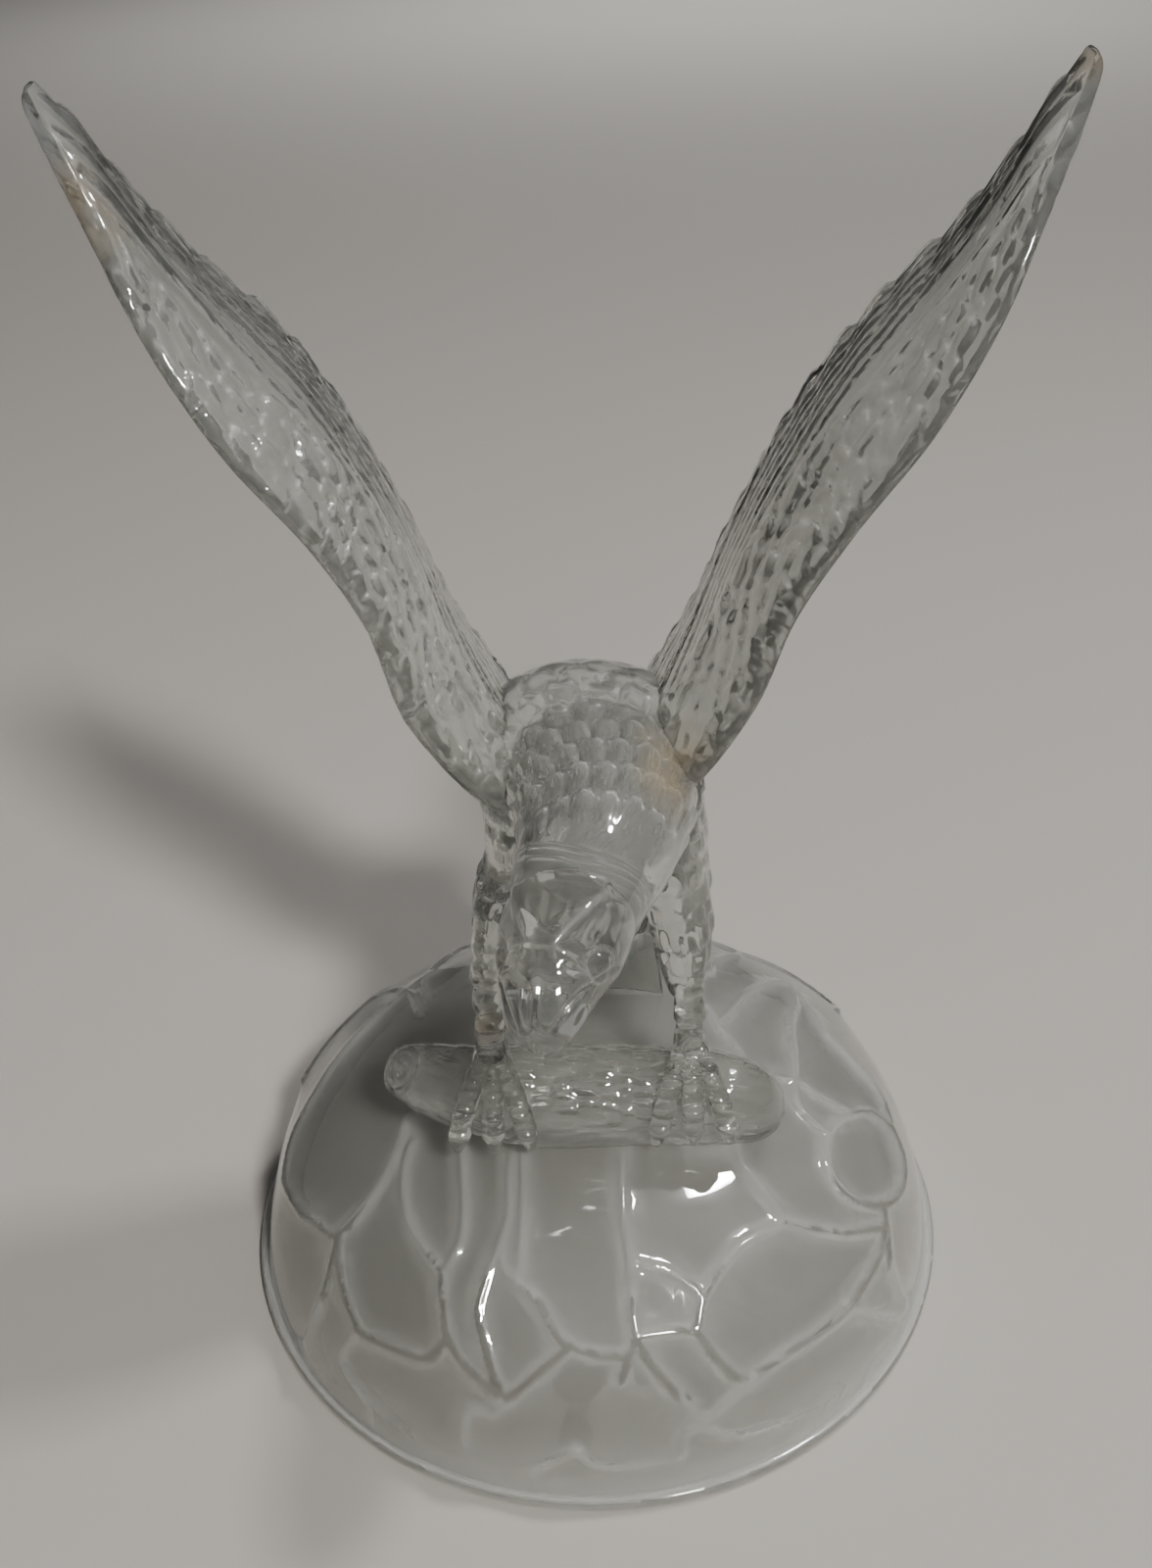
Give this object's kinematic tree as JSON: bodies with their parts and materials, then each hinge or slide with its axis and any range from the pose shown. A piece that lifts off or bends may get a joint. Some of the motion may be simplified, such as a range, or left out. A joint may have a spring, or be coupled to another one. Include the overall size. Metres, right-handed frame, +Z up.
{
  "type": "crystal eagle figurine",
  "caption": "Clear pressed-glass eagle with raised wings, gripping a log on a hollow, faceted, round dome base.",
  "frame": {"origin": "middle of the round base on the table it stands on", "axes": "+Z up, -Y the way the eagle faces, so +X is the viewer's right; the wings spread along X"},
  "size_m": [0.1674, 0.152, 0.2406],
  "materials": {
    "crystal": "clear glass eagle and log, milky frosted inside of the dome"
  },
  "bodies": {
    "root": {"crystal_eagle": "crystal"}
  },
  "joints": []
}
